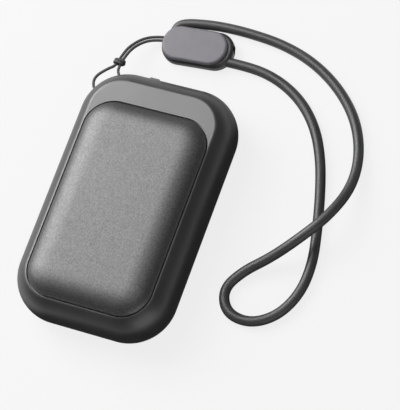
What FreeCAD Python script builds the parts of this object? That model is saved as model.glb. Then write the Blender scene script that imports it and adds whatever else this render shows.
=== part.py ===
import FreeCAD, Part
import math
import os
import re
import Sketcher

# Rechargeable hand warmer with a wrist lanyard, lying on its back with the heat plate up.
# Origin: centre of the back face, on the floor.
# +X right seen from the front, +Y towards the charging port, +Z up.

os.makedirs("parts", exist_ok=True)
doc = FreeCAD.newDocument("HandWarmer")

# Driving sizes in millimetres; a name that ends in share is a ratio.
SIZES = {
    # Case
    "case_width": 54.0,
    "case_length": 86.4,
    "case_depth": 17.2,
    "corner_radius": 15.4,
    "side_cut": 1.1,
    "side_land": 0.6,
    "crease_radius": 1.5,
    "wall": 1.8,
    "deck": 1.6,
    "overrun": 1.0,
    "fit_gap": 0.05,
    # Heat plate and heater
    "plate_margin": 5.25,
    "plate_top_margin": 12.35,
    "pocket_corner_drop": 0.15,
    "plate_gap": 0.25,
    "plate_seat": 0.8,
    "plate_rise": 2.8,
    "crown_radius": 6.5,
    "crown_thickness": 1.4,
    "plate_rim": 4.5,
    "tape_thickness": 0.15,
    "tape_margin": 0.5,
    "film_margin": 0.5,
    "film_thickness": 0.25,
    "pad_margin": 1.0,
    "sensor_width": 2.4,
    "sensor_length": 1.6,
    "sensor_depth": 0.9,
    "sensor_room": 0.3,
    # Screws of the case
    "column_radius": 2.7,
    "screw_head_radius": 1.8,
    "screw_head_depth": 1.2,
    "screw_sink": 0.2,
    "screw_radius": 1.0,
    "screw_length": 10.0,
    "top_screw_inset": 9.2,
    "top_screw_margin": 21.2,
    "low_screw_inset": 11.5,
    "low_screw_margin": 9.6,
    # Battery
    "battery_side_room": 8.5,
    "battery_end_room": 0.3,
    "battery_top_room": 0.6,
    "battery_corner": 3.0,
    "foam_thickness": 0.6,
    "foam_margin": 3.5,
    "protector_margin": 6.5,
    "protector_depth": 7.0,
    "protector_thickness": 1.0,
    "lead_room": 4.0,
    "lead_diameter": 1.3,
    # Main board and what stands on it
    "board_side_room": 12.5,
    "board_length": 22.0,
    "board_thickness": 1.0,
    "board_clearance": 0.5,
    "board_screw_inset": 2.6,
    "board_screw_radius": 0.8,
    "board_screw_length": 4.0,
    "board_head_radius": 1.5,
    "board_head_depth": 0.9,
    "board_boss_radius": 2.1,
    "coil_width": 6.0,
    "coil_depth": 3.0,
    "coil_corner": 1.2,
    "chip_width": 5.0,
    "chip_depth": 0.9,
    "small_chip_width": 3.6,
    "capacitor_width": 1.6,
    "capacitor_length": 2.6,
    "capacitor_depth": 1.4,
    # Charging port and its cover
    "port_width": 8.94,
    "port_height": 3.26,
    "port_corner": 1.5,
    "port_length": 7.35,
    "port_skin": 0.3,
    "port_room": 0.2,
    "port_setback": 0.3,
    "port_floor": 0.8,
    "port_wall": 1.6,
    "port_block_margin": 1.2,
    "tongue_width": 6.7,
    "tongue_height": 0.7,
    "tongue_setback": 1.5,
    "cover_width": 18.0,
    "cover_height": 6.0,
    "cover_corner": 2.2,
    "cover_depth": 1.6,
    "cover_gap": 0.2,
    "cover_sink": 0.1,
    "boss_room": 0.4,
    "boss_depth": 1.0,
    "lip_length": 3.5,
    "lip_rise": 0.55,
    "lip_height": 3.2,
    "lip_corner": 0.4,
    "lip_inset": 0.6,
    "anchor_width": 2.0,
    "anchor_height": 3.6,
    "anchor_depth": 3.0,
    "anchor_corner": 0.8,
    # Power key and its switch
    "key_width": 17.2,
    "key_height": 7.0,
    "key_end_radius": 2.4,
    "key_top_margin": 13.35,
    "key_gap": 0.25,
    "key_recess": 0.15,
    "key_flange": 0.8,
    "key_flange_depth": 0.8,
    "key_stem_radius": 1.5,
    "switch_width": 4.6,
    "key_stem_length": 0.62,
    "plunger_radius": 1.0,
    "plunger_out": 0.7,
    "plunger_in_share": 0.4,
    "key_travel": 0.35,
    # Indicators
    "lamp_pitch": 4.5,
    "lamp_spacing": 3.9,
    "lamp_width": 1.6,
    "lamp_length": 1.0,
    "lamp_depth": 0.7,
    "lamp_gap": 0.2,
    "pin_radius": 0.7,
    "pin_recess": 0.1,
    "guide_margin": 2.0,
    "guide_length": 3.0,
    # Tunnel for the string in the corner of the case
    "tunnel_radius": 4.6,
    "tunnel_bore": 1.3,
    "tunnel_offset": 0.5,
    "tunnel_skin": 1.4,
    # Lanyard
    "string_diameter": 1.0,
    "strap_diameter": 3.4,
    "strand_pitch": 1.2,
    "band_room": 0.25,
    "tag_length": 25.0,
    "tag_width": 13.0,
    "tag_end_radius": 6.3,
    "tag_depth": 3.8,
    "tag_round": 1.3,
    "tag_x": -12.0,
    "tag_y": 59.3,
    "tag_bore_radius": 1.4,
    "tag_bore_offset": 1.6,
    "tag_plate_length": 22.6,
    "tag_plate_width": 12.0,
    "tag_plate_end_radius": 5.8,
    "tag_plate_depth": 1.2,
    "tag_plate_round": 0.7,
    "tag_plate_inset": 0.5,
    "knot_radius": 1.2,
    "knot_inset": 4.6,
}
TAG_ANGLE = 4.0
ARC_SHARE = 0.45

# Places worked out from the driving sizes.
DERIVED = {
    "parting": "case_depth / 2",
    "case_end": "case_length / 2",
    "side_radius": "parting - side_land / 2 + side_cut",
    "pocket_radius": "corner_radius - plate_margin - pocket_corner_drop",
    "pocket_width": "case_width - 2 * plate_margin",
    "pocket_length": "case_length - plate_margin - plate_top_margin",
    "plate_y": "(plate_margin - plate_top_margin) / 2",
    "pocket_floor": "case_depth - plate_seat",
    "deck_under": "pocket_floor - deck",
    "plate_base": "pocket_floor + tape_thickness",
    "plate_top": "case_depth + plate_rise",
    "plate_ceiling": "plate_top - crown_thickness",
    "crown_grow": "crown_radius - sqrt(crown_radius ^ 2 - (crown_radius - plate_rise) ^ 2)",
    "film_bottom": "plate_ceiling - film_thickness",
    "film_end": "case_end - plate_top_margin - plate_gap - plate_rim - film_margin",
    "cover_floor": "case_end - cover_depth - cover_sink",
    "port_front": "cover_floor - port_setback",
    "block_face": "cover_floor - port_wall",
    "board_end": "block_face - board_clearance",
    "board_low": "board_end - board_length",
    "board_top": "parting - port_height / 2",
    "board_under": "board_top - board_thickness",
    "board_width": "case_width - 2 * board_side_room",
    "battery_end": "board_low - lead_room",
    "battery_low": "low_screw_margin - case_end + column_radius + battery_end_room",
    "battery_width": "case_width - 2 * battery_side_room",
    "battery_length": "battery_end - battery_low",
    "battery_base": "wall + foam_thickness",
    "battery_depth": "deck_under - battery_base - battery_top_room",
    "protector_width": "battery_width - 2 * protector_margin",
    "key_low": "case_end - key_top_margin - key_height",
    "key_y": "key_low + key_height / 2",
    "key_back": "wall + fit_gap",
    "plunger_tip": "key_back + key_flange_depth + key_stem_length",
    "switch_under": "plunger_tip + plunger_out",
    "switch_depth": "board_under - switch_under",
    "plunger_in": "plunger_in_share * switch_depth",
    "lamp_y": "key_low + key_height + lamp_spacing",
    "tunnel_x": "corner_radius - case_width / 2 - (corner_radius + tunnel_offset) / sqrt(2)",
    "tunnel_y": "case_end - corner_radius + (corner_radius + tunnel_offset) / sqrt(2)",
}

sheet = doc.addObject("Spreadsheet::Sheet", "Sizes")
for row, (name, number) in enumerate(SIZES.items(), start=1):
    sheet.set(f"A{row}", name)
    sheet.set(f"B{row}", str(number))
    sheet.setAlias(f"B{row}", name)
for row, (name, formula) in enumerate(DERIVED.items(), start=1):
    sheet.set(f"D{row}", name)
    sheet.set(f"E{row}", "=" + formula)
    sheet.setAlias(f"E{row}", name)
doc.recompute()


def bound(formula):
    """The formula as an expression that reads each named size from the sheet."""
    def read(word):
        known = word.group() in SIZES or word.group() in DERIVED
        return "Sizes." + word.group() if known else word.group()
    return re.sub(r"[a-z_]+", read, formula)


def measure(formula):
    """The formula's value in millimetres."""
    return float(sheet.evalExpression(bound(formula)))


def place(item, x="0", y="0", z="0"):
    """Binds where an item's own origin lies."""
    for axis, formula in zip("xyz", (x, y, z)):
        item.setExpression("Placement.Base." + axis, bound(formula))
    return item


# Building blocks

def block(name, width, length, height, x="0", y="0", z="0"):
    """A box centred on x and y that stands on z."""
    box = doc.addObject("Part::Box", name)
    for side, formula in zip(("Length", "Width", "Height"), (width, length, height)):
        box.setExpression(side, bound(formula))
    return place(box, f"{x} - ({width}) / 2", f"{y} - ({length}) / 2", z)


def rod(name, radius, height, x="0", y="0", z="0"):
    """An upright cylinder that stands on z."""
    cylinder = doc.addObject("Part::Cylinder", name)
    cylinder.setExpression("Radius", bound(radius))
    cylinder.setExpression("Height", bound(height))
    return place(cylinder, x, y, z)


def joined(name, items):
    """Several items as one object."""
    fuse = doc.addObject("Part::MultiFuse", name)
    fuse.Shapes = items
    return fuse


def shared(name, items):
    """What the items have in common."""
    common = doc.addObject("Part::MultiCommon", name)
    common.Shapes = items
    return common


def cut(name, base, tool):
    """The base without the tool."""
    difference = doc.addObject("Part::Cut", name)
    difference.Base = base
    difference.Tool = tool
    return difference


def sketch_on(body, name, role, x="0", y="0", z="0"):
    """An empty sketch on one of the body's own planes, moved by x, y and z in that plane's frame."""
    sketch = body.newObject("Sketcher::SketchObject", name)
    support = next(item for item in body.Origin.OriginFeatures if item.Role == role)
    sketch.AttachmentSupport = [(support, "")]
    sketch.MapMode = "FlatFace"
    for axis, formula in zip("xyz", (x, y, z)):
        sketch.setExpression("AttachmentOffset.Base." + axis, bound(formula))
    return sketch


def bind(sketch, name, formula):
    """Names the sketch's last constraint and binds it to a formula."""
    sketch.renameConstraint(sketch.ConstraintCount - 1, name)
    sketch.setExpression("Constraints." + name, bound(formula))


def rounded_rectangle(sketch, width, length, radius):
    """A rectangle with rounded corners, centred on the sketch's origin."""
    half_w, half_l, round_r = measure(width) / 2, measure(length) / 2, measure(radius)
    inner_w, inner_l = half_w - round_r, half_l - round_r
    ends = [
        ((-inner_w, -half_l), (inner_w, -half_l)),
        ((half_w, -inner_l), (half_w, inner_l)),
        ((inner_w, half_l), (-inner_w, half_l)),
        ((-half_w, inner_l), (-half_w, -inner_l)),
    ]
    for start, end in ends:
        sketch.addGeometry(Part.LineSegment(FreeCAD.Vector(*start, 0), FreeCAD.Vector(*end, 0)))
    corners = [(inner_w, -inner_l), (inner_w, inner_l), (-inner_w, inner_l), (-inner_w, -inner_l)]
    for quarter, centre in enumerate(corners, start=-1):
        circle = Part.Circle(FreeCAD.Vector(*centre, 0), FreeCAD.Vector(0, 0, 1), round_r)
        sketch.addGeometry(Part.ArcOfCircle(circle, quarter * math.pi / 2, (quarter + 1) * math.pi / 2))
    sides = len(ends)
    for side in range(sides):
        arc = sides + side
        sketch.addConstraint(Sketcher.Constraint("Tangent", side, 2, arc, 1))
        sketch.addConstraint(Sketcher.Constraint("Tangent", arc, 2, (side + 1) % sides, 1))
        sketch.addConstraint(Sketcher.Constraint("Vertical" if side % 2 else "Horizontal", side))
    for arc in range(sides + 1, 2 * sides):
        sketch.addConstraint(Sketcher.Constraint("Equal", sides, arc))
    sketch.addConstraint(Sketcher.Constraint("Symmetric", sides, 3, sides + 2, 3, -1, 1))
    sketch.addConstraint(Sketcher.Constraint("Radius", sides, round_r))
    bind(sketch, "radius", radius)
    sketch.addConstraint(Sketcher.Constraint("DistanceX", 3, 1, 1, 1, 2 * half_w))
    bind(sketch, "width", width)
    sketch.addConstraint(Sketcher.Constraint("DistanceY", 0, 1, 2, 1, 2 * half_l))
    bind(sketch, "length", length)


def arched_outline(sketch, grow):
    """The key's outline grown all round: a straight low side, two round ends and an arched top."""
    width, height = f"key_width + 2 * ({grow})", f"key_height + 2 * ({grow})"
    radius = f"key_end_radius + ({grow})"
    end_r, reach = measure(radius), measure(width) / 2 - measure(radius)
    climb = measure(height) - end_r
    arch_r = (reach ** 2 + climb ** 2 - end_r ** 2) / (2 * (climb - end_r))
    low = -measure(grow)
    arch_y = low + measure(height) - arch_r
    lean = math.atan2(low + end_r - arch_y, reach)
    up = FreeCAD.Vector(0, 0, 1)
    sketch.addGeometry(Part.LineSegment(FreeCAD.Vector(-reach, low, 0), FreeCAD.Vector(reach, low, 0)))
    right = Part.Circle(FreeCAD.Vector(reach, low + end_r, 0), up, end_r)
    sketch.addGeometry(Part.ArcOfCircle(right, -math.pi / 2, lean))
    arch = Part.Circle(FreeCAD.Vector(0, arch_y, 0), up, arch_r)
    sketch.addGeometry(Part.ArcOfCircle(arch, lean, math.pi - lean))
    left = Part.Circle(FreeCAD.Vector(-reach, low + end_r, 0), up, end_r)
    sketch.addGeometry(Part.ArcOfCircle(left, math.pi - lean, 3 * math.pi / 2))
    for first, second in ((0, 1), (1, 2), (2, 3), (3, 0)):
        sketch.addConstraint(Sketcher.Constraint("Tangent", first, 2, second, 1))
    sketch.addConstraint(Sketcher.Constraint("Horizontal", 0))
    sketch.addConstraint(Sketcher.Constraint("Equal", 1, 3))
    sketch.addConstraint(Sketcher.Constraint("PointOnObject", 2, 3, -2))
    sketch.addConstraint(Sketcher.Constraint("Radius", 1, end_r))
    bind(sketch, "end_radius", radius)
    sketch.addConstraint(Sketcher.Constraint("DistanceX", 3, 3, 1, 3, 2 * reach))
    bind(sketch, "reach", f"({width}) - 2 * ({radius})")
    sketch.addConstraint(Sketcher.Constraint("DistanceY", 0, 1, -1, 1, -low))
    bind(sketch, "low_side", grow)
    sketch.addConstraint(Sketcher.Constraint("Radius", 2, arch_r))
    rise = f"(({height}) - ({radius}))"
    half = f"(({width}) / 2 - ({radius}))"
    top = f"({half} ^ 2 + {rise} ^ 2 - ({radius}) ^ 2)"
    bind(sketch, "arch_radius", f"{top} / (2 * ({rise} - ({radius})))")


def pad(body, sketch, length, reverse=False):
    """Raises the sketch by a length."""
    feature = body.newObject("PartDesign::Pad", sketch.Name + "_pad")
    feature.Profile = sketch
    feature.Reversed = reverse
    feature.setExpression("Length", bound(length))
    sketch.Visibility = False
    return feature


def pocket(body, sketch, length, reverse=False):
    """Cuts the sketch into the body by a length, against the sketch's normal unless reversed."""
    doc.recompute()
    before = body.Shape.Volume
    feature = body.newObject("PartDesign::Pocket", sketch.Name + "_pocket")
    feature.Profile = sketch
    feature.Reversed = reverse
    feature.setExpression("Length", bound(length))
    doc.recompute()
    if not body.Shape.Volume < before:
        raise RuntimeError(f"{sketch.Name} cuts nothing")
    return feature


def round_edges(body, name, radius, level):
    """Rounds every edge of the body that lies at one height."""
    doc.recompute()
    height = measure(level)
    near = measure("fit_gap") / 10
    names = []
    for number, edge in enumerate(body.Shape.Edges, start=1):
        box = edge.BoundBox
        if abs(box.ZMin - height) < near and abs(box.ZMax - height) < near:
            names.append(f"Edge{number}")
    base = body.Tip
    feature = body.newObject("PartDesign::Fillet", name)
    feature.Base = (base, names)
    feature.setExpression("Radius", bound(radius))
    doc.recompute()
    return feature


def slab(name, width, length, radius, height, x="0", y="0", z="0"):
    """A plate with rounded corners that stands on z."""
    body = doc.addObject("PartDesign::Body", name)
    sketch = sketch_on(body, name + "_outline", "XY_Plane", x, y, z)
    rounded_rectangle(sketch, width, length, radius)
    pad(body, sketch, height)
    return body


def end_slab(name, width, height, radius, length, z, y):
    """A bar with rounded corners seen from the port's end, that runs from y towards the case's middle."""
    body = doc.addObject("PartDesign::Body", name)
    sketch = sketch_on(body, name + "_outline", "XZ_Plane", "0", z, f"0 - ({y})")
    rounded_rectangle(sketch, width, height, radius)
    pad(body, sketch, length)
    return body


# Case: two halves with arched sides and flat faces, parted at half depth

def case_half(name, inset, flat, upward):
    """Half of the case's outside, or of its hollow when inset: an arched side that a flat face cuts off."""
    body = doc.addObject("PartDesign::Body", name)
    width, length = f"case_width - 2 * ({inset})", f"case_length - 2 * ({inset})"
    radius = f"corner_radius - ({inset})"
    height = f"side_land / 2 + side_radius - ({inset})"
    outline = sketch_on(body, name + "_outline", "XY_Plane", z="parting")
    rounded_rectangle(outline, width, length, radius)
    pad(body, outline, height, reverse=not upward)
    sign = "+" if upward else "-"
    round_edges(body, name + "_side", f"side_radius - ({inset})", f"parting {sign} ({height})")
    face = sketch_on(body, name + "_face", "XY_Plane", z=f"parting {sign} ({flat})")
    rounded_rectangle(face, width, length, radius)
    pocket(body, face, "side_radius", reverse=upward)
    return body


front_blank = case_half("front_blank", "0", "parting", True)
round_edges(front_blank, "front_crease", "crease_radius", "case_depth")
back_blank = case_half("back_blank", "0", "parting", False)
round_edges(back_blank, "back_crease", "crease_radius", "0")
front_hollow = case_half("front_hollow", "wall", "deck_under - parting", True)
back_hollow = case_half("back_hollow", "wall", "parting - wall", False)
case_blank = joined("case_blank", [front_blank, back_blank])

SIDES = (-1, 1)
TOP_SCREWS = [
    (f"{side} * (case_width / 2 - top_screw_inset)", "case_end - top_screw_margin") for side in SIDES
]
LOW_SCREWS = [
    (f"{side} * (case_width / 2 - low_screw_inset)", "low_screw_margin - case_end") for side in SIDES
]
CASE_SCREWS = TOP_SCREWS + LOW_SCREWS
BOARD_SCREWS = [
    (f"{side} * (board_width / 2 - board_screw_inset)", "board_low + board_screw_inset") for side in SIDES
]

# Recess of the port cover and the mouth of the port, which cut both halves
mouth_width, mouth_height = "port_width + 2 * port_room", "port_height + 2 * port_room"
cover_recess = end_slab(
    "cover_recess", "cover_width + 2 * cover_gap", "cover_height + 2 * cover_gap", "cover_corner + cover_gap",
    "cover_depth + cover_sink + overrun", "parting", "case_end + overrun")
port_mouth = end_slab(
    "port_mouth", mouth_width, mouth_height, "port_corner + port_room",
    "port_wall + 2 * overrun", "parting", "cover_floor + overrun")
ANCHOR_X = "cover_width / 2 + cover_gap + fit_gap + anchor_width / 2"
anchor_hole = end_slab(
    "anchor_hole", "anchor_width + 2 * fit_gap", "anchor_height + 2 * fit_gap", "anchor_corner + fit_gap",
    "anchor_depth + fit_gap + overrun", "parting", "case_end + overrun")
anchor_hole.setExpression("Placement.Base.x", bound(ANCHOR_X))

# Tunnel of the string: a ring-shaped bore that leaves a bridge in the corner
tunnel = doc.addObject("Part::Torus", "tunnel")
tunnel.setExpression("Radius1", bound("tunnel_radius"))
tunnel.setExpression("Radius2", bound("tunnel_bore"))
place(tunnel, "tunnel_x", "tunnel_y", "parting")
end_cuts = [cover_recess, port_mouth, anchor_hole, tunnel]

tunnel_height = "2 * (tunnel_bore + tunnel_skin)"
tunnel_boss = rod(
    "tunnel_boss", "tunnel_radius + tunnel_bore + tunnel_skin", tunnel_height,
    "tunnel_x", "tunnel_y", f"parting - {tunnel_height} / 2")
block_width = "cover_width + 2 * (cover_gap + anchor_width + port_block_margin)"
block_height = "cover_height + 2 * (cover_gap + port_block_margin)"
port_block = block(
    "port_block", block_width, "case_end - block_face", block_height,
    y="(case_end + block_face) / 2", z=f"parting - ({block_height}) / 2")


def case_shell(name, blank, hollow, bosses, holes):
    """A hollow half with its bosses, whose holes are cut last."""
    skin = cut(name + "_skin", blank, hollow)
    lining = joined(name + "_bosses", bosses + [tunnel_boss, port_block])
    trimmed = shared(name + "_lining", [blank, lining])
    solid = joined(name + "_solid", [skin, trimmed])
    return cut(name, solid, joined(name + "_cuts", holes + end_cuts))


# Front half: pocket for the plate, a slot for the heater's leads and four screw columns
front_columns = [
    rod(f"front_column_{number}", "column_radius", "pocket_floor - parting", x, y, "parting")
    for number, (x, y) in enumerate(CASE_SCREWS, start=1)
]
plate_pocket = slab(
    "plate_pocket", "pocket_width", "pocket_length", "pocket_radius", "plate_seat + overrun",
    y="plate_y", z="pocket_floor")
SLOT_WIDTH = "4 * lead_diameter"
SLOT_LENGTH = "2 * lead_diameter"
LEAD_Y = "film_end - lead_diameter"
lead_slot = block(
    "lead_slot", SLOT_WIDTH, SLOT_LENGTH, "deck + 2 * overrun", y=LEAD_Y, z="deck_under - overrun")
head_seat = "pocket_floor - screw_sink - screw_head_depth"
front_holes = [plate_pocket, lead_slot]
for number, (x, y) in enumerate(CASE_SCREWS, start=1):
    front_holes.append(rod(
        f"head_hole_{number}", "screw_head_radius + 2 * fit_gap", "screw_sink + screw_head_depth + overrun",
        x, y, head_seat))
    front_holes.append(rod(
        f"shank_hole_{number}", "screw_radius + 2 * fit_gap", "case_depth", x, y, "0"))
front_shell = case_shell("front_shell", front_blank, front_hollow, front_columns, front_holes)

# Back half: the key's opening, three pin holes, screw posts and two board posts
back_posts = [
    rod(f"back_post_{number}", "column_radius", "parting - wall / 2", x, y, "wall / 2")
    for number, (x, y) in enumerate(CASE_SCREWS, start=1)
]
back_posts += [
    rod(f"board_post_{number}", "board_boss_radius", "board_under - wall / 2", x, y, "wall / 2")
    for number, (x, y) in enumerate(BOARD_SCREWS, start=1)
]
key_opening = doc.addObject("PartDesign::Body", "key_opening")
opening_sketch = sketch_on(key_opening, "key_opening_outline", "XY_Plane", y="key_low", z="0 - overrun")
arched_outline(opening_sketch, "key_gap")
pad(key_opening, opening_sketch, "wall + 2 * overrun")
LAMPS = [f"{step} * lamp_pitch" for step in (-1, 0, 1)]
back_holes = [key_opening]
for number, x in enumerate(LAMPS, start=1):
    back_holes.append(rod(
        f"pin_hole_{number}", "pin_radius + fit_gap", "wall + 2 * overrun", x, "lamp_y", "0 - overrun"))
for number, (x, y) in enumerate(CASE_SCREWS, start=1):
    back_holes.append(rod(
        f"pilot_{number}", "screw_radius + fit_gap", "screw_length + overrun",
        x, y, f"{head_seat} - screw_length - fit_gap"))
for number, (x, y) in enumerate(BOARD_SCREWS, start=1):
    back_holes.append(rod(
        f"board_pilot_{number}", "board_screw_radius + fit_gap", "board_screw_length + overrun",
        x, y, "board_top - board_screw_length - fit_gap"))
back_shell = case_shell("back_shell", back_blank, back_hollow, back_posts, back_holes)


def screws(name, spots, head_radius, head_depth, shank_radius, shank_length, seat):
    """A set of like screws, head up on a seat."""
    pieces = []
    for number, (x, y) in enumerate(spots, start=1):
        pieces.append(rod(f"{name}_head_{number}", head_radius, head_depth, x, y, seat))
        pieces.append(rod(
            f"{name}_shank_{number}", shank_radius, shank_length, x, y, f"{seat} - {shank_length}"))
    return joined(name, pieces)


case_screws = screws(
    "case_screws", CASE_SCREWS, "screw_head_radius", "screw_head_depth", "screw_radius", "screw_length",
    head_seat)

# Heat plate: a cast plate with a crowned top and rolled edges, taped into its pocket
plate_width, plate_length = "pocket_width - 2 * plate_gap", "pocket_length - 2 * plate_gap"
plate_radius = "pocket_radius - plate_gap"


def plate_slab(name, inset, bottom, height):
    """A slab on the plate's outline, drawn in by an inset."""
    return slab(
        name, f"{plate_width} - 2 * ({inset})", f"{plate_length} - 2 * ({inset})",
        f"{plate_radius} - ({inset})", height, y="plate_y", z=bottom)


plate_blank = plate_slab("plate_blank", "0", "plate_base", "plate_top - plate_base")
plate_crown = plate_slab(
    "plate_crown", "0 - crown_grow", "plate_top - crown_radius - overrun", "crown_radius + overrun")
round_edges(plate_crown, "plate_crown_edge", "crown_radius", "plate_top")
plate_hollow = plate_slab(
    "plate_hollow", "plate_rim", "plate_base - overrun", "plate_ceiling - plate_base + overrun")
heat_plate = cut("heat_plate", shared("plate_form", [plate_blank, plate_crown]), plate_hollow)

tape_outside = plate_slab("tape_outside", "tape_margin", "pocket_floor", "tape_thickness")
tape_inside = plate_slab(
    "tape_inside", "plate_rim - tape_margin", "pocket_floor - overrun", "tape_thickness + 2 * overrun")
plate_tape = cut("plate_tape", tape_outside, tape_inside)
heater_film = plate_slab("heater_film", "plate_rim + film_margin", "film_bottom", "film_thickness")
temperature_sensor = block(
    "temperature_sensor", "sensor_width", "sensor_length", "sensor_depth",
    y="plate_y", z="film_bottom - sensor_depth")
pad_blank = plate_slab("pad_blank", "plate_rim + pad_margin", "pocket_floor", "film_bottom - pocket_floor")
sensor_space = block(
    "sensor_space", "sensor_width + 2 * sensor_room", "sensor_length + 2 * sensor_room",
    "film_bottom - pocket_floor + 2 * overrun", y="plate_y", z="pocket_floor - overrun")
lead_space = block(
    "lead_space", SLOT_WIDTH, SLOT_LENGTH, "film_bottom - pocket_floor + 2 * overrun",
    y=LEAD_Y, z="pocket_floor - overrun")
insulation_pad = cut("insulation_pad", pad_blank, joined("pad_cuts", [sensor_space, lead_space]))

# Battery: a pouch cell on foam tape, with its protection board on the end that faces the main board
battery_y = "battery_end - battery_length / 2"
battery_cell = slab(
    "battery_cell", "battery_width", "battery_length", "battery_corner", "battery_depth",
    y=battery_y, z="battery_base")
battery_pad = slab(
    "battery_pad", "battery_width - 2 * foam_margin", "battery_length - 2 * foam_margin", "battery_corner",
    "foam_thickness", y=battery_y, z="wall")
protector_z = "battery_base + (battery_depth - protector_depth) / 2"
cell_protector = block(
    "cell_protector", "protector_width", "protector_thickness", "protector_depth",
    y="battery_end + protector_thickness / 2", z=protector_z)

# Main board with its parts; the switch and the lamps face the back
board_blank = block(
    "board_blank", "board_width", "board_length", "board_thickness",
    y="board_end - board_length / 2", z="board_under")
board_holes = [
    rod(f"board_hole_{number}", "board_screw_radius + 2 * fit_gap", "board_thickness + 2 * overrun",
        x, y, "board_under - overrun")
    for number, (x, y) in enumerate(BOARD_SCREWS, start=1)
]
main_board = cut("main_board", board_blank, joined("board_holes", board_holes))
board_screws = screws(
    "board_screws", BOARD_SCREWS, "board_head_radius", "board_head_depth", "board_screw_radius",
    "board_screw_length", "board_top")
coil_spot = ("board_width / 2 - coil_width / 2 - board_clearance", "lamp_y - coil_width / 2")
storage_coil = slab(
    "storage_coil", "coil_width", "coil_width", "coil_corner", "coil_depth", *coil_spot, "board_top")
power_chips = joined("power_chips", [
    block("charge_chip", "chip_width", "chip_width", "chip_depth",
          "0 - board_width / 4", "key_y", "board_top"),
    block("heat_chip", "small_chip_width", "small_chip_width", "chip_depth", "board_width / 4",
          "board_low + board_screw_inset + board_head_radius + small_chip_width", "board_top"),
])
capacitors = joined("capacitors", [
    block(f"capacitor_{number}", "capacitor_length", "capacitor_width", "capacitor_depth",
          "0 - port_width / 2 - board_clearance - capacitor_length / 2",
          f"lamp_y + {step} * (capacitor_width + board_clearance)", "board_top")
    for number, step in enumerate((-1, 0, 1), start=1)
])

# Charging receptacle: a drawn shell with a contact tongue
port_shell = end_slab(
    "port_shell", "port_width", "port_height", "port_corner", "port_length", "parting", "port_front")
port_hollow = end_slab(
    "port_hollow", "port_width - 2 * port_skin", "port_height - 2 * port_skin", "port_corner - port_skin",
    "port_length - port_floor + overrun", "parting", "port_front + overrun")
charge_port = cut("charge_port", port_shell, port_hollow)
port_tongue = block(
    "port_tongue", "tongue_width", "port_length - port_floor - tongue_setback", "tongue_height",
    y="port_front - tongue_setback - (port_length - port_floor - tongue_setback) / 2",
    z="parting - tongue_height / 2")

# Port cover: a soft plug flush with the top edge, with a pull lip, that swings on its tether
cover_form = end_slab(
    "cover_form", "cover_width", "cover_height", "cover_corner", "cover_depth + overrun", "parting",
    "case_end + overrun")
cover_skin = shared("cover_skin", [case_blank, cover_form])
cover_boss = end_slab(
    "cover_boss", "port_width - 2 * (port_skin + boss_room)", "port_height - 2 * (port_skin + boss_room)",
    "port_corner - port_skin - boss_room", "boss_depth + cover_depth / 2", "parting",
    "case_end - cover_depth / 2")
cover_lip = slab(
    "cover_lip", "lip_length", "lip_rise + cover_depth / 2", "lip_corner", "lip_height",
    "lip_inset + lip_length / 2 - cover_width / 2", "case_end + lip_rise / 2 - cover_depth / 4",
    "parting - lip_height / 2")
port_cover = joined("port_cover", [cover_skin, cover_boss, cover_lip])
anchor_form = end_slab(
    "anchor_form", "anchor_width", "anchor_height", "anchor_corner", "anchor_depth + overrun", "parting",
    "case_end + overrun")
anchor_form.setExpression("Placement.Base.x", bound(ANCHOR_X))
cover_anchor = shared("cover_anchor", [case_blank, anchor_form])

# Power key: an arched cap held behind the wall by its flange, with a stem on the switch
key_cap = doc.addObject("PartDesign::Body", "key_cap")
cap_sketch = sketch_on(key_cap, "key_cap_outline", "XY_Plane", y="key_low", z="key_recess")
arched_outline(cap_sketch, "0")
pad(key_cap, cap_sketch, "key_back - key_recess")
key_rim = doc.addObject("PartDesign::Body", "key_rim")
rim_sketch = sketch_on(key_rim, "key_rim_outline", "XY_Plane", y="key_low", z="key_back")
arched_outline(rim_sketch, "key_flange")
pad(key_rim, rim_sketch, "key_flange_depth")
key_stem = rod("key_stem", "key_stem_radius", "plunger_tip - key_back", "0", "key_y", "key_back")
power_key = joined("power_key", [key_cap, key_rim, key_stem])
switch_box = block(
    "switch_box", "switch_width", "switch_width", "switch_depth", y="key_y", z="switch_under")
switch_bore = rod(
    "switch_bore", "plunger_radius + fit_gap", "plunger_in + key_travel + overrun + fit_gap", "0", "key_y",
    "switch_under - overrun")
tact_switch = cut("tact_switch", switch_box, switch_bore)
switch_plunger = rod(
    "switch_plunger", "plunger_radius", "plunger_out + plunger_in", "0", "key_y", "plunger_tip")

# Indicators: lamps on the board, and a clear guide whose pins show in the back
indicator_lamps = joined("indicator_lamps", [
    block(f"lamp_{number}", "lamp_width", "lamp_length", "lamp_depth",
          x, "lamp_y", "board_under - lamp_depth")
    for number, x in enumerate(LAMPS, start=1)
])
guide_bar = block(
    "guide_bar", "2 * (lamp_pitch + guide_margin)", "guide_length",
    "board_under - lamp_depth - lamp_gap - wall", y="lamp_y", z="wall")
guide_pins = [
    rod(f"guide_pin_{number}", "pin_radius", "wall", x, "lamp_y", "pin_recess")
    for number, x in enumerate(LAMPS, start=1)
]
light_guide = joined("light_guide", [guide_bar] + guide_pins)


# Cords and leads: round tubes along straight runs joined by tangent arcs

def rounded_path(points):
    """A wire along the points, each corner rounded as widely as its two runs allow; also the arcs' radii."""
    edges, radii, here = [], [], points[0]
    for before, corner, after in zip(points, points[1:], points[2:]):
        back, ahead = (before - corner).normalize(), (after - corner).normalize()
        half_turn = (math.pi - back.getAngle(ahead)) / 2
        reach = ARC_SHARE * min((before - corner).Length, (after - corner).Length)
        radius = reach / math.tan(half_turn)
        start, end = corner + back * reach, corner + ahead * reach
        inward = (back + ahead).normalize()
        middle = corner + inward * (radius / math.cos(half_turn) - radius)
        edges += [Part.LineSegment(here, start).toShape(), Part.Arc(start, middle, end).toShape()]
        radii.append(radius)
        here = end
    edges.append(Part.LineSegment(here, points[-1]).toShape())
    return Part.Wire(edges), radii


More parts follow.
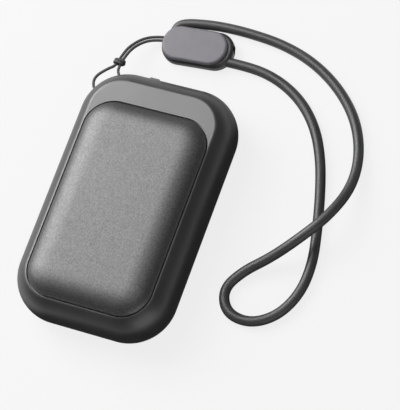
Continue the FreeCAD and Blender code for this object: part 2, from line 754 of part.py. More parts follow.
def tube_solid(label, route, diameter):
    """A solid tube along a route, whose volume is compared with its section times its length."""
    points = [FreeCAD.Vector(*spot) for spot in route]
    wire, radii = rounded_path(points)
    section = Part.Wire(Part.makeCircle(diameter / 2, points[0], points[1] - points[0]))
    solid = wire.makePipeShell([section], True, False)
    expected = math.pi * diameter ** 2 / 4 * wire.Length
    print(f"{label}: length {wire.Length:.1f}, least radius {min(radii):.1f}, "
          f"volume ratio {solid.Volume / expected:.4f}, radii {[round(r, 1) for r in radii]}")
    return solid


def set_shape(name, shape):
    """A document object that holds a shape."""
    feature = doc.addObject("Part::Feature", name)
    feature.Shape = shape
    return feature


def battery_lead(label, side):
    """A lead that leaves the cell's small board level and bends down to end upright on the main board."""
    start, end = measure("battery_end + protector_thickness"), measure("board_low + 2 * lead_diameter")
    x, top = side * measure("2 * lead_diameter"), measure("parting + lead_diameter")
    route = [(x, start, top), (x, end, top), (x, end, measure("board_top"))]
    return set_shape(label, tube_solid(label, route, measure("lead_diameter")))


battery_lead_red = battery_lead("battery_lead_red", -1)
battery_lead_black = battery_lead("battery_lead_black", 1)
heater_leads = joined("heater_leads", [
    rod(f"heater_lead_{number}", "lead_diameter / 2", "film_bottom - board_top", f"{side} * lead_diameter",
        LEAD_Y, "board_top")
    for number, side in enumerate(SIDES, start=1)
])

# Lanyard string: from inside the tag through the corner's tunnel and back, chosen by hand
STRING_ROUTE = [
    (-8.2, 60.60, 1.9), (-12.0, 60.30, 1.9), (-17.2, 58.30, 3.3), (-20.2, 54.00, 5.2), (-20.72, 49.22, 7.4),
    (-20.90, 45.23, 8.4), (-20.44, 43.14, 8.6), (-18.24, 40.95, 8.6), (-18.24, 37.14, 8.6),
    (-20.94, 34.44, 8.6), (-24.75, 34.44, 8.6), (-27.15, 36.85, 8.6), (-27.51, 40.03, 8.6),
    (-24.47, 43.49, 8.6), (-22.10, 45.37, 8.4), (-21.92, 49.29, 7.4), (-21.4, 54.40, 5.2),
    (-18.0, 59.30, 3.3), (-12.2, 61.50, 1.9), (-8.4, 61.75, 1.9),
]
lanyard_string = set_shape(
    "lanyard_string", tube_solid("lanyard_string", STRING_ROUTE, measure("string_diameter")))
# Band of the hitch: a ring round both strands just past the corner
BAND_SPOT = (-21.43, 47.0, 7.97)
BAND_AXIS = (0.05, 1.0, -0.25)
hitch_band = doc.addObject("Part::Torus", "hitch_band")
hitch_band.setExpression("Radius1", bound("strand_pitch / 2 + string_diameter + band_room"))
hitch_band.setExpression("Radius2", bound("string_diameter / 2"))
hitch_band.Placement = FreeCAD.Placement(
    FreeCAD.Vector(*BAND_SPOT), FreeCAD.Rotation(FreeCAD.Vector(0, 0, 1), FreeCAD.Vector(*BAND_AXIS)))

# Strap: from the tag's far end along the floor, round the loop, over itself and back to the tag's near side
STRAP_ROUTE = [
    (8.2, 57.9, 1.7), (19.1, 58.4, 1.7), (30.3, 56.3, 1.7), (40.3, 51.0, 1.7), (48.0, 43.0, 1.7),
    (53.3, 33.0, 1.7), (57.0, 22.0, 1.7), (60.0, 10.5, 1.7), (62.3, -0.5, 1.7), (61.8, -11.0, 1.7),
    (57.3, -19.8, 1.7), (49.5, -24.6, 1.7), (41.0, -23.3, 1.7), (37.3, -16.3, 1.7), (41.5, -9.0, 1.9),
    (49.5, -3.0, 4.4), (57.5, 4.2, 8.5), (64.2, 14.0, 8.5), (66.8, 26.0, 4.2), (65.0, 38.0, 1.8),
    (59.8, 49.0, 1.7), (51.0, 58.0, 1.7), (40.2, 64.6, 1.7), (28.5, 68.3, 1.7), (16.4, 69.6, 1.7),
    (5.3, 69.7, 1.7), (-3.6, 68.6, 1.7), (-8.35, 67.3, 1.7), (-9.7, 65.0, 1.7), (-9.45, 62.8, 1.7),
]
strap_loop = set_shape("strap_loop", tube_solid("strap_loop", STRAP_ROUTE, measure("strap_diameter")))


# Tag: a moulded body with the string's bore, and a plate on top, made along X and then turned into place

def tag_place(item, along="0", across="0", up="0"):
    """Puts an item of the tag where the tag lies, at a spot along and across the tag."""
    turn = math.radians(TAG_ANGLE)
    item.Placement = FreeCAD.Placement(FreeCAD.Vector(), FreeCAD.Rotation(FreeCAD.Vector(0, 0, 1), TAG_ANGLE))
    x = f"tag_x + ({along}) * {math.cos(turn)} - ({across}) * {math.sin(turn)}"
    y = f"tag_y + ({along}) * {math.sin(turn)} + ({across}) * {math.cos(turn)}"
    return place(item, x, y, up)


tag_blank = slab("tag_blank", "tag_length", "tag_width", "tag_end_radius", "tag_depth", x="tag_length / 2")
round_edges(tag_blank, "tag_top_round", "tag_round", "tag_depth")
round_edges(tag_blank, "tag_low_round", "tag_round", "0")
tag_bore = doc.addObject("Part::Cylinder", "tag_bore")
tag_bore.setExpression("Radius", bound("tag_bore_radius"))
tag_bore.setExpression("Height", bound("tag_length + 2 * overrun"))
tag_bore.Placement = FreeCAD.Placement(
    FreeCAD.Vector(), FreeCAD.Rotation(FreeCAD.Vector(0, 0, 1), FreeCAD.Vector(1, 0, 0)))
place(tag_bore, "0 - overrun", "tag_bore_offset", "tag_depth / 2")
tag_body = tag_place(cut("tag_body", tag_blank, tag_bore))
tag_plate = slab(
    "tag_plate", "tag_plate_length", "tag_plate_width", "tag_plate_end_radius", "tag_plate_depth",
    x="tag_plate_inset + tag_plate_length / 2", z="tag_depth")
round_edges(tag_plate, "tag_plate_edge", "tag_plate_round", "tag_depth + tag_plate_depth")
tag_place(tag_plate)
string_knot = doc.addObject("Part::Sphere", "string_knot")
string_knot.setExpression("Radius", bound("knot_radius"))
tag_place(string_knot, "knot_inset", "tag_bore_offset", "tag_depth / 2")

doc.recompute()

nodes = [
    front_shell, back_shell, heat_plate, plate_tape, heater_film, insulation_pad, temperature_sensor,
    battery_cell, battery_pad, cell_protector, battery_lead_red, battery_lead_black, heater_leads, main_board,
    board_screws, storage_coil, power_chips, capacitors, charge_port, port_tongue, port_cover, cover_anchor,
    power_key, tact_switch, switch_plunger, indicator_lamps, light_guide, case_screws, lanyard_string,
    hitch_band, tag_body, tag_plate, string_knot, strap_loop,
]
for item in doc.Objects:
    if "Invalid" in item.State or "Error" in item.State:
        raise RuntimeError(f"{item.Name} failed: {item.State}")
for node in nodes:
    if node.Shape.isNull() or not node.Shape.isValid() or not node.Shape.Solids:
        raise RuntimeError(f"{node.Label} has no valid solid")
for node in nodes:
    node.Shape.exportStep(f"parts/{node.Label}.step")
    box = node.Shape.BoundBox
    print(f"{node.Label}: {len(node.Shape.Solids)} solids, {node.Shape.Volume:.1f} mm3, "
          f"x {box.XMin:.2f} {box.XMax:.2f}, y {box.YMin:.2f} {box.YMax:.2f}, "
          f"z {box.ZMin:.2f} {box.ZMax:.2f}")
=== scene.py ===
"""Looks of a pocket hand warmer with its wrist lanyard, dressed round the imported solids, in metres."""
import bpy
import numpy as np
from mathutils import Matrix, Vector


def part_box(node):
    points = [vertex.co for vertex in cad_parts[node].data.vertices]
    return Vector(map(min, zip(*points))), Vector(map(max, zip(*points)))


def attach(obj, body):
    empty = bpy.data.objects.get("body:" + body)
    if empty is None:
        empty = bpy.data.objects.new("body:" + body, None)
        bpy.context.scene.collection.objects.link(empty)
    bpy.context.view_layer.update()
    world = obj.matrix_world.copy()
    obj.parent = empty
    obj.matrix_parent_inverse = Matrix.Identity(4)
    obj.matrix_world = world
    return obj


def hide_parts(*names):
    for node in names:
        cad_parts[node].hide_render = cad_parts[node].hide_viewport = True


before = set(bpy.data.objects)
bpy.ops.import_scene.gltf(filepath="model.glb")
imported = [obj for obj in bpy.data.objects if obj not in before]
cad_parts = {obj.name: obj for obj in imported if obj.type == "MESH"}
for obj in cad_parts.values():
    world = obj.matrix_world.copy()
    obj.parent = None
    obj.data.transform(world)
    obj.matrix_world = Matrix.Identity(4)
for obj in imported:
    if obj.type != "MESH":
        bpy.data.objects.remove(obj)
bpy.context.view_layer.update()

# Case shells. Two moulded halves of dark charcoal plastic with a soft-touch lacquer over a fine spark
# texture, screwed together from inside and parted along the middle of the rim.


def new_finish(name, base, **sockets):
    """A finish with a plain base colour, its constant shader sockets set, and the piece's own coordinates."""
    material = bpy.data.materials.new(name)
    material.use_nodes = True
    material.node_tree.nodes.new("ShaderNodeTexCoord")
    shader = shader_of(material)
    shader.inputs["Base Color"].default_value = (*base, 1.0)
    for socket, value in sockets.items():
        shader.inputs[socket.replace("_", " ")].default_value = value
    return material


def shader_of(material):
    """The finish's one surface shader."""
    return material.node_tree.nodes["Principled BSDF"]


def place_on(material):
    """The piece's own coordinates, in metres."""
    return material.node_tree.nodes["Texture Coordinate"].outputs["Object"]


def noise(material, size):
    """Fractal noise from 0 to 1 whose grains are about size metres across."""
    node = material.node_tree.nodes.new("ShaderNodeTexNoise")
    node.inputs["Scale"].default_value = 1.0 / size
    material.node_tree.links.new(place_on(material), node.inputs["Vector"])
    return node.outputs["Fac"]


def spread(material, share, low, high, start=0.3, stop=0.7):
    """A value that runs from low to high while the share runs from start to stop, which unless given are the
    ends of a noise's bulk."""
    node = material.node_tree.nodes.new("ShaderNodeMapRange")
    for socket, value in (("From Min", start), ("From Max", stop), ("To Min", low), ("To Max", high)):
        node.inputs[socket].default_value = value
    material.node_tree.links.new(share, node.inputs["Value"])
    return node.outputs["Result"]


def tint(material, share, light, socket="Base Color"):
    """Carries a colour socket towards light with the share, over what the finish has there already."""
    base, links = shader_of(material).inputs[socket], material.node_tree.links
    node = material.node_tree.nodes.new("ShaderNodeMix")
    node.data_type = "RGBA"
    # The node's colour sockets, which share their names with those for numbers and vectors.
    start, end, mixed = node.inputs[6], node.inputs[7], node.outputs[2]
    start.default_value = base.default_value
    end.default_value = (*light, 1.0)
    if base.is_linked:
        links.new(base.links[0].from_socket, start)
    links.new(share, node.inputs[0])
    links.new(mixed, base)


def relief(material, height, depth):
    """Bump from a height between 0 and 1 that stands depth metres proud."""
    node = material.node_tree.nodes.new("ShaderNodeBump")
    node.inputs["Distance"].default_value = depth
    material.node_tree.links.new(height, node.inputs["Height"])
    material.node_tree.links.new(node.outputs["Normal"], shader_of(material).inputs["Normal"])


def grained(name, dark, light, rough, patch, grain, depth, **sockets):
    """A finish whose colour drifts from dark to light over patches patch metres across, and its roughness
    between the two of rough, with raised grains grain metres across and depth metres high."""
    material = new_finish(name, dark, **sockets)
    drift = noise(material, patch)
    tint(material, spread(material, drift, 0.0, 1.0), light)
    material.node_tree.links.new(spread(material, drift, *rough), shader_of(material).inputs["Roughness"])
    relief(material, noise(material, grain), depth)
    return material


def line_at_height(material, height, half_width):
    """A share that is 1 within half_width metres of one height of the piece, and 0 elsewhere."""
    nodes, links = material.node_tree.nodes, material.node_tree.links
    split, near = nodes.new("ShaderNodeSeparateXYZ"), nodes.new("ShaderNodeMath")
    near.operation = "COMPARE"
    near.inputs[1].default_value = height
    near.inputs[2].default_value = half_width
    links.new(place_on(material), split.inputs[0])
    links.new(split.outputs["Z"], near.inputs[0])
    return near.outputs[0]


def dress(material, *names):
    """Gives the finish to the solids of these names."""
    for name in names:
        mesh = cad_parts[name].data
        mesh.materials.clear()
        mesh.materials.append(material)


soft_touch = grained("soft_touch", dark=(0.017, 0.017, 0.018), light=(0.021, 0.021, 0.022),
                     rough=(0.38, 0.42), patch=0.012, grain=0.00022, depth=0.000012,
                     Specular_IOR_Level=0.9)
seam_height, seam_half, seam_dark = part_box("back_shell")[1].z, 0.00005, (0.002, 0.002, 0.002)
tint(soft_touch, line_at_height(soft_touch, seam_height, seam_half), seam_dark)
dress(soft_touch, "back_shell", "front_shell")

# Pads, cell and wiring inside: open-cell foam, a foil pouch cell and silicone-covered leads, taped and
# soldered together before the case is closed.
foam = grained("open_cell_foam", dark=(0.10, 0.10, 0.10), light=(0.22, 0.22, 0.22), rough=(0.85, 0.95),
               patch=0.0011, grain=0.0005, depth=0.0003)
dress(foam, "battery_pad", "insulation_pad")
cell_foil = grained("cell_foil", dark=(0.55, 0.56, 0.58), light=(0.66, 0.67, 0.69), rough=(0.26, 0.38),
                    patch=0.006, grain=0.0025, depth=0.00008, Metallic=1.0)
dress(cell_foil, "battery_cell")
red_lead = grained("red_lead", dark=(0.50, 0.02, 0.02), light=(0.60, 0.03, 0.02), rough=(0.35, 0.5),
                   patch=0.003, grain=0.0004, depth=0.00001)
dress(red_lead, "battery_lead_red")
black_lead = grained("black_lead", dark=(0.02, 0.02, 0.02), light=(0.035, 0.035, 0.035), rough=(0.35, 0.5),
                     patch=0.003, grain=0.0004, depth=0.00001)
dress(black_lead, "battery_lead_black", "heater_leads")

# Circuit boards with their parts: green solder mask over glass fibre, moulded chips, a coil in a grey block,
# ceramic capacitors and a steel-shelled charging receptacle, all soldered down. Two screws hold the main
# board, and four hold the case.
solder_mask = grained("solder_mask", dark=(0.012, 0.11, 0.045), light=(0.025, 0.18, 0.08), rough=(0.22, 0.34),
                      patch=0.0012, grain=0.0006, depth=0.00002)
dress(solder_mask, "main_board", "cell_protector")
moulded_black = grained("moulded_black", dark=(0.022, 0.022, 0.022), light=(0.034, 0.034, 0.034),
                        rough=(0.5, 0.65), patch=0.002, grain=0.00015, depth=0.00001)
dress(moulded_black, "power_chips", "temperature_sensor", "port_tongue", "switch_plunger")
ferrite_grey = grained("ferrite_grey", dark=(0.20, 0.20, 0.21), light=(0.28, 0.28, 0.29), rough=(0.55, 0.7),
                       patch=0.001, grain=0.0002, depth=0.00002)
dress(ferrite_grey, "storage_coil", "tact_switch")
ceramic_tan = grained("ceramic_tan", dark=(0.42, 0.30, 0.16), light=(0.56, 0.41, 0.23), rough=(0.4, 0.55),
                      patch=0.0007, grain=0.0002, depth=0.00001)
dress(ceramic_tan, "capacitors")
plated_steel = grained("plated_steel", dark=(0.52, 0.52, 0.53), light=(0.64, 0.64, 0.64), rough=(0.22, 0.36),
                       patch=0.002, grain=0.0003, depth=0.000006, Metallic=1.0)
dress(plated_steel, "charge_port", "board_screws", "case_screws")

# Indicators: three small emitters on the board under one clear moulded guide, whose pins end flush in the
# back and glow red round a white-hot middle.
lamp_cap = grained("lamp_cap", dark=(0.85, 0.42, 0.24), light=(0.95, 0.58, 0.36), rough=(0.3, 0.4),
                   patch=0.0006, grain=0.0002, depth=0.00001)
dress(lamp_cap, "indicator_lamps")
guide = grained("lit_guide", dark=(0.55, 0.08, 0.05), light=(0.65, 0.14, 0.09), rough=(0.15, 0.25),
                patch=0.0008, grain=0.0003, depth=0.00001,
                Emission_Color=(1.0, 0.72, 0.60, 1.0), Emission_Strength=1.0)


def vector_steps(material, *steps):
    """The piece's own coordinates after steps of vector arithmetic, each an operation with its values."""
    place = place_on(material)
    for operation, *values in steps:
        node = material.node_tree.nodes.new("ShaderNodeVectorMath")
        node.operation = operation
        material.node_tree.links.new(place, node.inputs[0])
        for socket, value in zip(node.inputs[1:], values):
            socket.default_value = value
        place = node.outputs["Value" if operation == "LENGTH" else "Vector"]
    return place


guide_low, guide_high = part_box("light_guide")
pin_row, pin_pitch = (guide_low.y + guide_high.y) / 2, 0.0045
pin_core, pin_edge, pin_red = 0.0002, 0.00055, (0.85, 0.04, 0.03)
from_pin = vector_steps(guide, ("WRAP", (pin_pitch / 2, 1.0, 1.0), (-pin_pitch / 2, -1.0, -1.0)),
                        ("SUBTRACT", (0.0, pin_row, 0.0)), ("MULTIPLY", (1.0, 1.0, 0.0)), ("LENGTH",))
tint(guide, spread(guide, from_pin, 0.0, 1.0, pin_core, pin_edge), pin_red, "Emission Color")
dress(guide, "light_guide")

# Power key: one moulded key, arched on the side towards the indicators, of the same plastic and lacquer as
# the case. It is held from inside by its flange.
dress(soft_touch, "power_key")

# Heater and plate: amber film heater and its tape bonded under a pressed plate of grey anodised aluminium,
# blasted with fine beads before it is coloured.
amber_film = grained("amber_film", dark=(0.48, 0.20, 0.03), light=(0.66, 0.33, 0.07), rough=(0.2, 0.3),
                     patch=0.003, grain=0.0006, depth=0.00001)
dress(amber_film, "heater_film")
tape_white = grained("tape_white", dark=(0.62, 0.62, 0.60), light=(0.74, 0.74, 0.72), rough=(0.6, 0.75),
                     patch=0.002, grain=0.0004, depth=0.00002)
dress(tape_white, "plate_tape")
dent_size, dent_depth, dent_roughness = 0.00022, 0.000008, (0.46, 0.40)
dent_dark, dent_light = (0.057, 0.057, 0.057), (0.130, 0.130, 0.131)
blasted = new_finish("blasted_plate", dent_dark, Metallic=0.75)
dents = blasted.node_tree.nodes.new("ShaderNodeTexVoronoi")
dents.inputs["Scale"].default_value = 1.0 / dent_size
blasted.node_tree.links.new(place_on(blasted), dents.inputs["Vector"])
tint(blasted, dents.outputs["Color"], dent_light)
dent_polish = spread(blasted, dents.outputs["Color"], *dent_roughness, 0.0, 1.0)
blasted.node_tree.links.new(dent_polish, shader_of(blasted).inputs["Roughness"])
relief(blasted, dents.outputs["Distance"], dent_depth)


def rounded_outline(half_width, half_length, radius, steps):
    """Points of a rounded rectangle, anticlockwise, and the outward normal at each: four quarter circles of
    steps points, whose ends the straight sides join."""
    turn = (np.arange(4)[:, None] * np.pi / 2 + np.linspace(0.0, np.pi / 2, steps)).ravel()
    outward = np.c_[np.cos(turn), np.sin(turn)]
    corner = np.repeat([(1, 1), (-1, 1), (-1, -1), (1, -1)], steps, axis=0)
    return corner * (half_width - radius, half_length - radius) + radius * outward, outward


def pillow(outline, outward, base, edge, top, crown, flatness, fullness, steps):
    """Grid of a raised plate: an upright side from base to edge, then a crown that runs in from the outline
    as a superellipse, inset = crown (1 - cos^(2/flatness)), height = edge + (top - edge) sin^(2/fullness)."""
    sweep = np.linspace(0.0, np.pi / 2, steps)
    inset = np.r_[0.0, crown * (1.0 - np.maximum(np.cos(sweep), 0.0) ** (2.0 / flatness))]
    height = np.r_[base, edge + (top - edge) * np.sin(sweep) ** (2.0 / fullness)]
    flat = outline[None] - inset[:, None, None] * outward[None]
    return np.dstack([flat, np.broadcast_to(height[:, None], flat.shape[:2])])


def skinned(name, grid, material, crease=0.7):
    """A piece of the case's body whose skin is a grid of points, closed round its second side, with a flat
    cap on each end. Edges that turn by more than crease radians stay sharp."""
    rows, cols = grid.shape[:2]
    spot = np.arange(rows * cols).reshape(rows, cols)
    near, far = spot[:-1], spot[1:]
    faces = np.stack([near, np.roll(near, -1, 1), np.roll(far, -1, 1), far], axis=-1).reshape(-1, 4).tolist()
    mesh = bpy.data.meshes.new(name)
    mesh.from_pydata(grid.reshape(-1, 3).tolist(), [], faces + [spot[0, ::-1].tolist(), spot[-1].tolist()])
    mesh.shade_smooth()
    mesh.set_sharp_from_angle(angle=crease)
    mesh.materials.append(material)
    piece = bpy.data.objects.new(name, mesh)
    bpy.context.scene.collection.objects.link(piece)
    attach(piece, "case")
    return piece


plate_low, plate_high = (np.array(corner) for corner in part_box("heat_plate"))
plate_gap, plate_corner, plate_edge, plate_crown = 0.0001, 0.00975, 0.0171, 0.009
plate_half = (plate_high - plate_low)[:2] / 2 - plate_gap
plate_line, plate_out = rounded_outline(*plate_half, plate_corner - plate_gap, steps=24)
plate_line = plate_line + (plate_low + plate_high)[:2] / 2
plate_skin = pillow(plate_line, plate_out, base=plate_low[2], edge=plate_edge, top=plate_high[2],
                    crown=plate_crown, flatness=2.5, fullness=1.5, steps=40)
plate = skinned("plate", plate_skin, blasted)
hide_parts("heat_plate")

# Port cover: soft silicone flap pushed into the port's mouth, moulded in one with its pull lip. It bends at
# one end, where an anchor holds it in the case.
silicone = grained("matte_silicone", dark=(0.038, 0.038, 0.039), light=(0.050, 0.050, 0.051),
                   rough=(0.38, 0.46), patch=0.006, grain=0.00025, depth=0.00001)
dress(silicone, "port_cover", "cover_anchor")

# Lanyard string: thin braided cord, doubled. Both ends are knotted in the tag, and its bight goes through the
# tunnel in the corner of the case and round itself as a hitch.
string_route = np.array([
    (-8.2, 60.60, 1.9), (-12.0, 60.30, 1.9), (-17.2, 58.30, 3.3), (-20.2, 54.00, 5.2),
    (-20.72, 49.22, 7.4), (-20.90, 45.23, 8.4), (-20.44, 43.14, 8.6), (-18.24, 40.95, 8.6),
    (-18.24, 37.14, 8.6), (-20.94, 34.44, 8.6), (-24.75, 34.44, 8.6), (-27.15, 36.85, 8.6),
    (-27.51, 40.03, 8.6), (-24.47, 43.49, 8.6), (-22.10, 45.37, 8.4), (-21.92, 49.29, 7.4),
    (-21.4, 54.40, 5.2), (-18.0, 59.30, 3.3), (-12.2, 61.50, 1.9), (-8.4, 61.75, 1.9),
]) / 1000.0


def smooth_line(name, route, steps):
    """Points of the NURBS line whose control points are the route, with steps points for each of them."""
    curve = bpy.data.curves.new(name, "CURVE")
    curve.dimensions = "3D"
    curve.resolution_u = steps
    line = curve.splines.new("NURBS")
    line.points.add(len(route) - 1)
    line.points.foreach_set("co", np.c_[route, np.ones(len(route))].ravel())
    line.order_u = 3
    line.use_endpoint_u = True
    holder = bpy.data.objects.new(name, curve)
    mesh = bpy.data.meshes.new_from_object(holder)
    points = np.empty(3 * len(mesh.vertices))
    mesh.vertices.foreach_get("co", points)
    bpy.data.objects.remove(holder)
    bpy.data.curves.remove(curve)
    bpy.data.meshes.remove(mesh)
    return points.reshape(-1, 3)


def frames_along(line, aside):
    """Unit vectors beside and above each point of a line that nowhere runs along the direction aside."""
    ahead = np.gradient(line, axis=0)
    ahead /= np.linalg.norm(ahead, axis=1, keepdims=True)
    beside = np.cross(aside, ahead)
    beside /= np.linalg.norm(beside, axis=1, keepdims=True)
    return beside, np.cross(ahead, beside)


def distance_along(line):
    """Metres from the first point to each point of the line."""
    return np.r_[0.0, np.cumsum(np.linalg.norm(np.diff(line, axis=0), axis=1))]


def tube(line, turn, radius, aside):
    """Points of a tube: round each point of the line a ring with the given radius at each angle of turn."""
    beside, above = frames_along(line, aside)
    ring = np.cos(turn)[None, :, None] * beside[:, None] + np.sin(turn)[None, :, None] * above[:, None]
    return line[:, None] + radius[..., None] * ring


upward = (0.0, 0.0, 1.0)
string_radius, braid_sides, strand_pairs, braid_lead, braid_relief = 0.0005, 24, 4, 0.0030, 0.07


def braided(line, aside):
    """Skin of a braided cord: two sets of strands wind against each other, and the radius swells where one of
    them passes over, by the signed root of the product of the two sets' sines."""
    turn = np.linspace(0.0, 2 * np.pi, braid_sides, endpoint=False)
    wound = 2 * np.pi * distance_along(line)[:, None] / braid_lead
    over = np.sin(strand_pairs * (turn + wound) / 2) * np.sin(strand_pairs * (turn - wound) / 2)
    swell = np.sign(over) * np.sqrt(np.abs(over))
    return tube(line, turn, string_radius * (1.0 - braid_relief + braid_relief * swell), aside)


string_line = smooth_line("string_route", string_route, steps=40)
braid = grained("braided_cord", dark=(0.035, 0.035, 0.037), light=(0.070, 0.070, 0.073), rough=(0.55, 0.75),
                patch=0.0005, grain=0.00012, depth=0.00003)
string = skinned("string", braided(string_line, upward), braid)
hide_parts("lanyard_string")
dress(braid, "string_knot")

# Hitch: the string's bight, drawn up in two turns round both strands just off the corner of the case. It is
# a flattened helix whose ends are tucked in.
hitch_spot, hitch_axis = np.array((-0.02143, 0.0470, 0.00797)), np.array((0.05, 1.0, -0.25))
hitch_axis /= np.linalg.norm(hitch_axis)
hitch_level = np.cross(hitch_axis, upward)
hitch_level /= np.linalg.norm(hitch_level)
hitch_upright = np.cross(hitch_level, hitch_axis)
hitch_turns, hitch_pitch, hitch_half, hitch_rise, hitch_points = 2.0, 0.00095, 0.00165, 0.00106, 160
tuck_depth, tuck_share = 0.5, 0.08
hitch_share = np.linspace(0.0, 1.0, hitch_points)
to_end = np.minimum(hitch_share, 1.0 - hitch_share)
tuck = 1.0 - tuck_depth * np.clip(1.0 - to_end / tuck_share, 0.0, 1.0) ** 2
hitch_turn = 2 * np.pi * hitch_turns * hitch_share
hitch_line = (hitch_spot
              + (hitch_half * tuck * np.cos(hitch_turn))[:, None] * hitch_level
              + (hitch_rise * tuck * np.sin(hitch_turn))[:, None] * hitch_upright
              + (hitch_pitch * hitch_turns * (hitch_share - 0.5))[:, None] * hitch_axis)
hitch = skinned("hitch", braided(hitch_line, hitch_axis), braid)
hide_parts("hitch_band")

# Tag: a moulded holder with the string's bore, and a lighter satin cover plate pressed on it, bare and with a
# soft edge. The string hangs it on the case, and the strap's ends are glued into it.
tag_holder = grained("tag_holder", dark=(0.014, 0.014, 0.015), light=(0.018, 0.018, 0.019),
                     rough=(0.42, 0.48), patch=0.008, grain=0.0002, depth=0.000008,
                     Specular_IOR_Level=0.8)
dress(tag_holder, "tag_body")
tag_satin = grained("tag_satin", dark=(0.114, 0.109, 0.125), light=(0.136, 0.130, 0.147), rough=(0.44, 0.50),
                    patch=0.004, grain=0.0002, depth=0.000006)
tag_angle, tag_middle, tag_half, tag_corner = np.radians(4.0), (-0.00023, 0.06012), (0.0113, 0.0060), 0.0058
tag_side, tag_edge_round = 0.0005, 0.0009
tag_line, tag_out = rounded_outline(*tag_half, tag_corner, steps=20)
tag_turn = np.array([(np.cos(tag_angle), np.sin(tag_angle)), (-np.sin(tag_angle), np.cos(tag_angle))])
tag_low, tag_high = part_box("tag_plate")
tag_skin = pillow(tag_line @ tag_turn + tag_middle, tag_out @ tag_turn, base=tag_low.z,
                  edge=tag_low.z + tag_side, top=tag_high.z, crown=tag_edge_round,
                  flatness=2.0, fullness=2.0, steps=20)
tag_cover = skinned("tag_cover", tag_skin, tag_satin)
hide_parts("tag_plate")

# Wrist strap: one moulded silicone cord whose two ends are glued into the tag, laid in a long open loop that
# crosses itself. The mould's halves leave a fine raised line along each side.
strap_route = np.array([
    (8.2, 57.9, 1.7), (19.1, 58.4, 1.7), (30.3, 56.3, 1.7), (40.3, 51.0, 1.7), (48.0, 43.0, 1.7),
    (53.3, 33.0, 1.7), (57.0, 22.0, 1.7), (60.0, 10.5, 1.7), (62.3, -0.5, 1.7), (61.8, -11.0, 1.7),
    (57.3, -19.8, 1.7), (49.5, -24.6, 1.7), (41.0, -23.3, 1.7), (37.3, -16.3, 1.7), (41.5, -9.0, 1.9),
    (49.5, -3.0, 4.4), (57.5, 4.2, 8.5), (64.2, 14.0, 8.5), (66.8, 26.0, 4.2), (65.0, 38.0, 1.8),
    (59.8, 49.0, 1.7), (51.0, 58.0, 1.7), (40.2, 64.6, 1.7), (28.5, 68.3, 1.7), (16.4, 69.6, 1.7),
    (5.3, 69.7, 1.7), (-3.6, 68.6, 1.7), (-8.35, 67.3, 1.7), (-9.7, 65.0, 1.7), (-9.45, 62.8, 1.7),
]) / 1000.0
strap_line = smooth_line("strap_route", strap_route, steps=14)
strap_radius, strap_sides, mould_rise, mould_spread = 0.0017, 32, 0.03, 0.12
strap_turn = np.linspace(0.0, 2 * np.pi, strap_sides, endpoint=False)
mould_line = mould_rise * np.exp(-(np.sin(strap_turn) / mould_spread) ** 2)
strap_section = strap_radius * (1.0 + mould_line - mould_rise)
strap_radii = np.broadcast_to(strap_section, (len(strap_line), strap_sides))
strap_skin = tube(strap_line, strap_turn, strap_radii, upward)
strap = skinned("strap", strap_skin, silicone)
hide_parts("strap_loop")

# Studio: a plain pale floor under four soft lamps, two on the left and behind, a weak one straight above and
# a weak one low on the front right, in a dim surrounding that is brighter near the horizon.
floor_half = 3.0
floor_corners = floor_half * np.array([(-1, -1, 0), (1, -1, 0), (1, 1, 0), (-1, 1, 0)])
floor_mesh = bpy.data.meshes.new("floor")
floor_mesh.from_pydata(floor_corners.tolist(), [], [(0, 1, 2, 3)])
floor = bpy.data.objects.new("floor", floor_mesh)
bpy.context.scene.collection.objects.link(floor)
pale = grained("pale_floor", dark=(0.46, 0.46, 0.46), light=(0.48, 0.48, 0.48), rough=(0.9, 0.95),
               patch=0.3, grain=0.01, depth=0.00001)
floor_mesh.materials.append(pale)


def whiten(material, straight, mirrored):
    """Shows the surface as plain white by the share straight where it is seen directly, and as plain grey of
    the level mirrored where it is seen in a gloss or through glass."""
    nodes, links = material.node_tree.nodes, material.node_tree.links
    ray, either = nodes.new("ShaderNodeLightPath"), nodes.new("ShaderNodeMath")
    either.operation = "MAXIMUM"
    links.new(ray.outputs["Is Glossy Ray"], either.inputs[0])
    links.new(ray.outputs["Is Transmission Ray"], either.inputs[1])
    white, grey = nodes.new("ShaderNodeEmission"), nodes.new("ShaderNodeEmission")
    direct, gloss = nodes.new("ShaderNodeMixShader"), nodes.new("ShaderNodeMixShader")
    links.new(spread(material, ray.outputs["Is Camera Ray"], 0.0, straight, 0.0, 1.0), direct.inputs["Fac"])
    links.new(either.outputs[0], gloss.inputs["Fac"])
    links.new(mirrored, grey.inputs["Strength"])
    for mix, under, over in ((direct, shader_of(material), white), (gloss, direct, grey)):
        links.new(under.outputs[0], mix.inputs[1])
        links.new(over.outputs[0], mix.inputs[2])
    links.new(gloss.outputs[0], nodes["Material Output"].inputs["Surface"])


# In the case's gloss the floor shows painted shade: a dark grey in front and on the right, where the device's
# shadow falls, fading to white beyond.
gloss_shade_middle, gloss_shade_half, gloss_shade_fade = (0.035, -0.045, 0.0), (0.060, 0.085, 0.01), 0.02
beyond_gloss_shade = vector_steps(pale, ("SUBTRACT", gloss_shade_middle), ("ABSOLUTE",), ("SUBTRACT", gloss_shade_half),
                           ("MAXIMUM", (0.0, 0.0, 0.0)), ("LENGTH",))
# The darkest grey of that painted shade in the gloss, and plain white for the floor seen directly.
floor_white, gloss_shade_level = 0.82, 0.06
whiten(pale, floor_white, spread(pale, beyond_gloss_shade, gloss_shade_level, 1.0, 0.0, gloss_shade_fade))


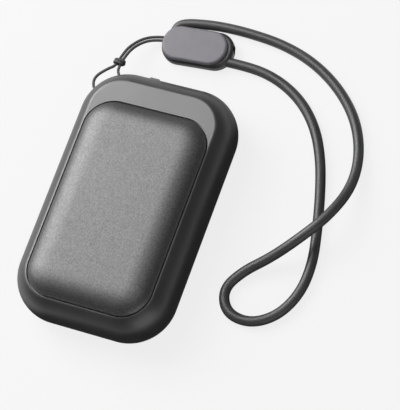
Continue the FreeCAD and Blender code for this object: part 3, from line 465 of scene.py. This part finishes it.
def soft_lamp(name, towards, distance, width, height, power):
    """A rectangular lamp that stands in the direction towards from the device and faces it."""
    lamp = bpy.data.lights.new(name, "AREA")
    lamp.shape = "RECTANGLE"
    lamp.size = width
    lamp.size_y = height
    lamp.energy = power
    stand = bpy.data.objects.new(name, lamp)
    back = np.array(towards) / np.linalg.norm(towards)
    side = np.cross((0.0, 1.0, 0.0), back)
    side /= np.linalg.norm(side)
    stand.matrix_world = Matrix(np.r_[np.c_[side, np.cross(back, side), back, back * distance],
                                      [(0.0, 0.0, 0.0, 1.0)]].tolist())
    bpy.context.scene.collection.objects.link(stand)


soft_lamp("overhead_lamp", towards=(-0.52, 0.32, 0.79), distance=0.65, width=0.42, height=0.42, power=3.5)
soft_lamp("left_lamp", towards=(-0.82, 0.26, 0.53), distance=1.0, width=0.6, height=0.9, power=8.6)
soft_lamp("top_lamp", towards=(0.05, 0.02, 1.0), distance=0.65, width=0.3, height=0.3, power=0.4)
soft_lamp("fill_lamp", towards=(0.68, -0.64, 0.36), distance=1.0, width=0.8, height=0.8, power=2.2)
horizon_glow, sky_glow, sky_start = 0.50, 0.08, 0.45
world = bpy.data.worlds.new("studio")
bpy.context.scene.world = world
world.use_nodes = True
heading = world.node_tree.nodes.new("ShaderNodeTexCoord")
split = world.node_tree.nodes.new("ShaderNodeSeparateXYZ")
world.node_tree.links.new(heading.outputs["Generated"], split.inputs[0])
glow = spread(world, split.outputs["Z"], horizon_glow, sky_glow, 0.0, sky_start)
background = world.node_tree.nodes["Background"]
background.inputs["Color"].default_value = (1.0, 1.0, 1.0, 1.0)
world.node_tree.links.new(glow, background.inputs["Strength"])

# Camera: at the photograph's viewing angle, from the fit of the case's outline, with a long lens. The columns
# of its matrix are the image's right, its up, the way back from the picture, and where the camera stands.
camera = bpy.data.cameras.new("camera")
sensor, focal_pixels, image_height = 36.0, 2400.2, 410.0
camera.sensor_width = sensor
camera.lens = sensor * focal_pixels / image_height
camera.clip_start = 0.01
camera.clip_end = 20.0
tripod = bpy.data.objects.new("camera", camera)
image_right, image_down = np.array((0.90837, 0.33805, -0.24614)), np.array((0.23878, -0.90254, -0.35833))
forward, standpoint = np.array((-0.34328, 0.26673, -0.90056)), np.array((0.28368, -0.19614, 0.69311))
tripod.matrix_world = Matrix(np.r_[np.c_[image_right, -image_down, -forward, standpoint],
                                   [(0.0, 0.0, 0.0, 1.0)]].tolist())
bpy.context.scene.collection.objects.link(tripod)
bpy.context.scene.camera = tripod
bpy.context.scene.view_settings.view_transform = "Standard"
